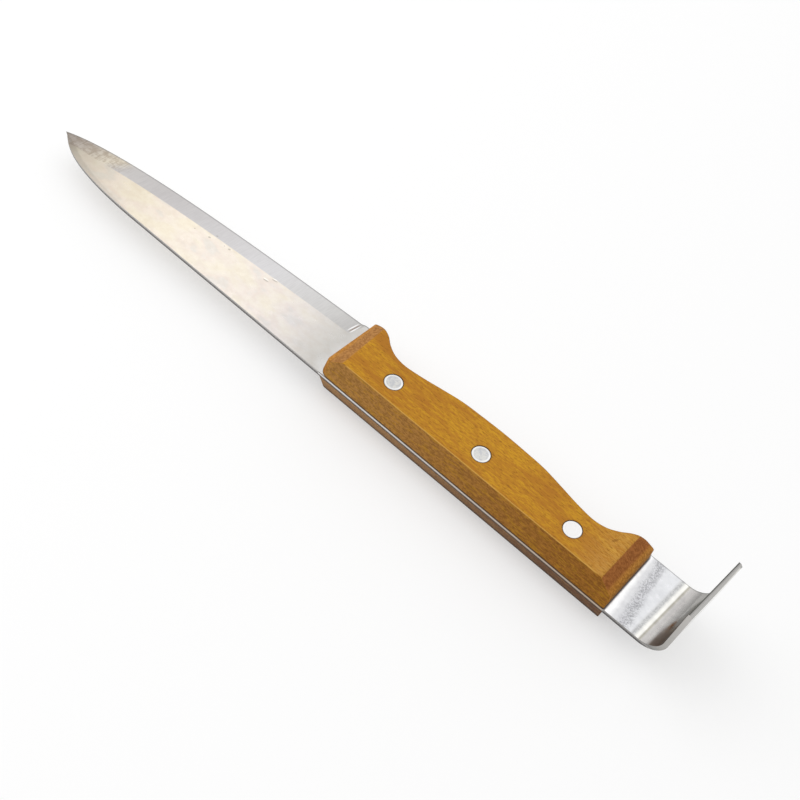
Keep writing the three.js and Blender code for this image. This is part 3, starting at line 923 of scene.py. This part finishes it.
def rivet_half(name, x, side, shank_radius, bore_radius):
    """One half: a disc with an eased, faintly crowned head, its shank drawn out of its inner
    face."""
    middle = place(x, RIVET_Y, side * (FACE_Z - HEAD_HEIGHT / 2))
    bpy.ops.object.select_all(action="DESELECT")
    bpy.ops.mesh.primitive_cylinder_add(
        vertices=ROUND_SIDES, radius=HEAD_RADIUS * MM, depth=HEAD_HEIGHT * MM, location=middle,
    )
    half = bpy.context.object
    half.name = name
    half.data.name = name
    bpy.ops.object.transform_apply(location=True, rotation=False, scale=False)
    outer = place(0, 0, side * FACE_Z).z
    inner = place(0, 0, side * (FACE_Z - HEAD_HEIGHT)).z
    bpy.ops.object.mode_set(mode="EDIT")
    pick_faces_at(half, inner)
    bpy.ops.mesh.inset(thickness=(HEAD_RADIUS - shank_radius) * MM)
    drawn = {"value": (0, 0, -side * SHANK * MM)}
    bpy.ops.mesh.extrude_region_move(TRANSFORM_OT_translate=drawn)
    if bore_radius:
        bpy.ops.mesh.inset(thickness=(shank_radius - bore_radius) * MM)
        bored = {"value": (0, 0, side * (SHANK - BORE_FLOOR) * MM)}
        bpy.ops.mesh.extrude_region_move(TRANSFORM_OT_translate=bored)
    pick_faces_at(half, outer)
    for width in HEAD_RINGS:
        bpy.ops.mesh.inset(thickness=width * MM)
    bpy.ops.mesh.select_all(action="DESELECT")
    bpy.ops.object.mode_set(mode="OBJECT")
    centre = middle.xy
    for vertex in half.data.vertices:
        if abs(vertex.co.z - outer) < SAME_HEIGHT * MM:
            share = (vertex.co.xy - centre).length / (HEAD_RADIUS * MM)
            easing = RIM_EASING * max(0, share - RIM_SHARE) / (1 - RIM_SHARE)
            vertex.co.z -= side * (CROWN * share ** 2 + easing) * MM
    bpy.ops.object.shade_smooth_by_angle(angle=math.radians(35))
    return half


def rivet_metal():
    """Sanded aluminium: cloudy, with fine scratches and a brighter burnished rim. The rear rivet is
    the brightest."""
    metal = Finish("rivet_aluminium", Metallic=1.0)
    cloud = metal.noise(0.7, 0.7, 0.7, detail=4, roughness=0.65)
    scratch = metal.noise(0.6, 6.0, 2.0, detail=3)
    colour = metal.mix(metal.between(cloud, 0.38, 0.62), (0.53, 0.54, 0.56), (0.68, 0.67, 0.64))
    colour = metal.mix(metal.between(metal.x, *BRIGHTER_X) * 0.85, colour, (0.82, 0.81, 0.8))
    for rivet_x in RIVET_PLACES.values():
        away = metal.from_rivet(rivet_x)
        rim = metal.between(away, *BURNISHED_INSIDE) * metal.between(away, *BURNISHED_OUTSIDE)
        colour = metal.mix(rim * 0.8, colour, (0.9, 0.9, 0.9))
    metal.feed("Base Color", colour)
    metal.feed("Roughness", 0.28 + 0.2 * cloud)
    metal.bump(cloud * 0.7 + scratch * 0.3, 0.02, 0.3)
    return metal.material


HALVES = [("male", 1, PIN_RADIUS, 0), ("female", -1, TUBE_RADIUS, BORE_RADIUS)]
rivet_finish = rivet_metal()
for place_name, rivet_x in RIVET_PLACES.items():
    for kind, side, shank_radius, bore_radius in HALVES:
        name = f"rivet_{kind}_half_{place_name}"
        half = rivet_half(name, rivet_x, side, shank_radius, bore_radius)
        half.data.materials.append(rivet_finish)
        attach(half, "root")
        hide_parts(f"rivet_{kind}_{place_name}")


# ---- The table, the light and the camera --------------------------------------------------------
# A plain white table that glows faintly, so that shadows on it stay pale, in a white tent that is
# darker low down. A soft key lamp stands beyond the blade's point, and two dim cards stand where
# the blade's middle and the hook mirror them.

bpy.ops.object.select_all(action="DESELECT")
bpy.ops.mesh.primitive_plane_add(size=6, location=(0, 0, 0))
table = bpy.context.object
table.name = "table"
white = Finish(
    "table_white", Base_Color=(0.52, 0.52, 0.52, 1), Roughness=0.9, Specular_IOR_Level=0.1,
    Emission_Color=(1, 1, 1, 1), Emission_Strength=0.46,
)
table.data.materials.append(white.material)


def lamp(name, direction, distance, target, width, height, power, colour):
    """A rectangular lamp, placed in a direction from the point that it lights."""
    location = target + Vector(direction).normalized() * distance
    bpy.ops.object.light_add(type="AREA", location=location)
    light = bpy.context.object
    light.name = name
    light.rotation_euler = (target - location).to_track_quat("-Z", "Y").to_euler()
    light.data.shape = "RECTANGLE"
    light.data.size = width
    light.data.size_y = height
    light.data.energy = power
    light.data.color = colour
    return light


WHITE = (1, 1, 1)
WARM = (1, 0.96, 0.9)
key = lamp("key_lamp", (-0.72, -0.1, 0.69), 1.3, place(0, 17, 0), 1.5, 1.5, 5.9, WHITE)
key.visible_glossy = False  # so the steel mirrors the cards, the tent and the table, but not this
lamp("blade_card", (-0.44, 0.51, 0.74), 1.2, place(-150, 12, 0), 0.24, 0.34, 0.14, WARM)
lamp("hook_card", (-0.11, 0.58, 0.81), 1.2, place(85, 17, 0), 0.3, 0.34, 0.2, WHITE)

# Brightness of the tent by direction, from low in front of the table to high behind it.
TENT = ((-0.2, 0.24), (0.25, 0.64), (0.75, 1.0), (1, 1.05))
BRIGHT_SIDE = (0, 0.45, 0.8)
tent = bpy.data.worlds.new("white_tent")
tent.use_nodes = True
sky = NodeTree(tent.node_tree)
direction = sky.node("ShaderNodeTexCoord", {}, {}, "Generated")
height = sky.node(
    "ShaderNodeVectorMath", {"operation": "DOT_PRODUCT"}, {0: direction, 1: BRIGHT_SIDE}, "Value",
)
shade = sky.shades(height, [(at, (brightness,) * 3) for at, brightness in TENT])
sky.tree.links.new(shade.socket, sky.tree.nodes["Background"].inputs["Color"])
bpy.context.scene.world = tent

CAMERA_PLACE = place(125.45, -319.1, 471.33)
CAMERA_AZIMUTH = math.radians(26.645)
CAMERA_HEIGHT = math.radians(51.546)
CAMERA_ROLL = math.radians(18.1)
camera = bpy.data.objects.new("camera", bpy.data.cameras.new("camera"))
bpy.context.scene.collection.objects.link(camera)
turn = Matrix.Rotation(CAMERA_AZIMUTH, 4, "Z")
turn = turn @ Matrix.Rotation(math.pi / 2 - CAMERA_HEIGHT, 4, "X")
turn = turn @ Matrix.Rotation(CAMERA_ROLL, 4, "Z")
camera.matrix_world = Matrix.Translation(CAMERA_PLACE) @ turn
camera.data.sensor_width = 36
camera.data.lens = 67.1
bpy.context.scene.camera = camera
bpy.context.scene.view_settings.view_transform = "Standard"
